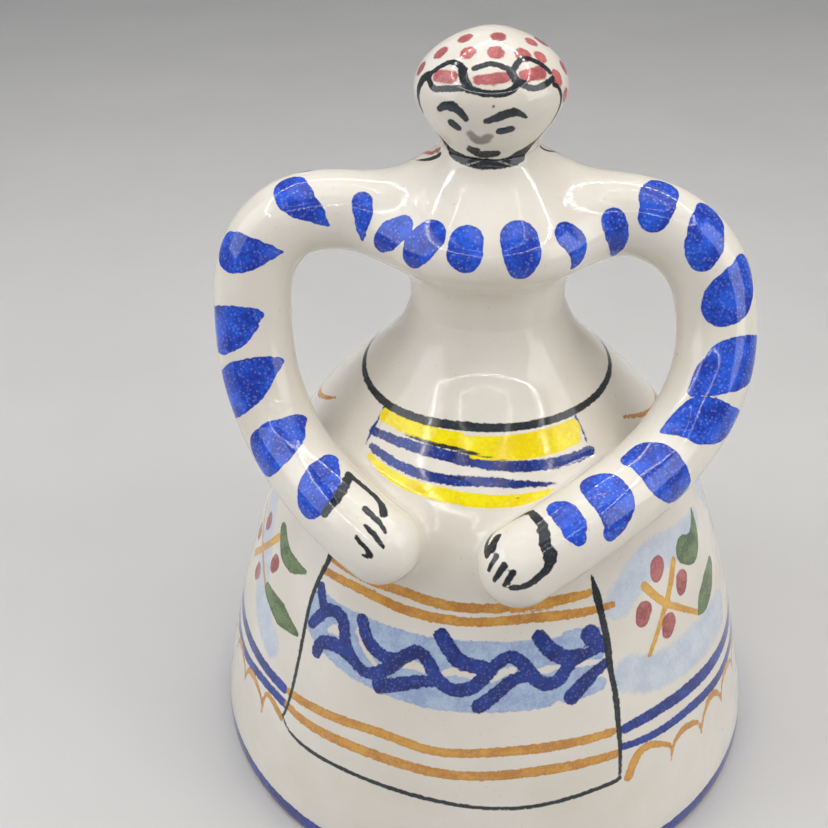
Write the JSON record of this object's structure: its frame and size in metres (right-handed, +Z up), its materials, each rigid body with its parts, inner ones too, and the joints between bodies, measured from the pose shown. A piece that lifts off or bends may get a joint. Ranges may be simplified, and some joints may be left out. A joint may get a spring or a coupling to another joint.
{
  "type": "porcelain bell",
  "caption": "Table hand bell shaped as a standing lady: flared hollow skirt, round bust and head, two rolled arms, and a clay bead clapper on a wire inside.",
  "frame": {"origin": "centre of the foot rim on the table, at the middle of the object's footprint", "axes": "+Z up through the head, the figure faces -Y, its left arm is on +X"},
  "size_m": [0.0878, 0.0878, 0.1124],
  "materials": {
    "glazed_body": "gloss",
    "bare_clay": "matte",
    "steel_wire": "satin",
    "glazed_bead": "gloss"
  },
  "bodies": {
    "bell": {"skirt_bell": "glazed_body", "bust": "glazed_body", "head": "glazed_body", "right_arm": "glazed_body", "left_arm": "glazed_body", "clapper_lug": "bare_clay"},
    "hanger": {"hanger_ring": "steel_wire"},
    "clapper": {"clapper_wire": "steel_wire"},
    "bead": {"clapper_ball": "glazed_bead"}
  },
  "joints": [
    {"name": "ring_swing", "type": "hinge", "parent": "bell", "child": "hanger", "pos_m": [0, 0, 0.0645], "axis": [1, 0, 0], "range_deg": [-15, 15]},
    {"name": "clapper_swing", "type": "hinge", "parent": "hanger", "child": "clapper", "pos_m": [0, 0, 0.05935], "axis": [0, 1, 0], "range_deg": [-34, 34]},
    {"name": "bead_spin", "type": "hinge", "parent": "clapper", "child": "bead", "pos_m": [0, 0, 0.017], "axis": [0, 0, 1], "continuous": true}
  ]
}
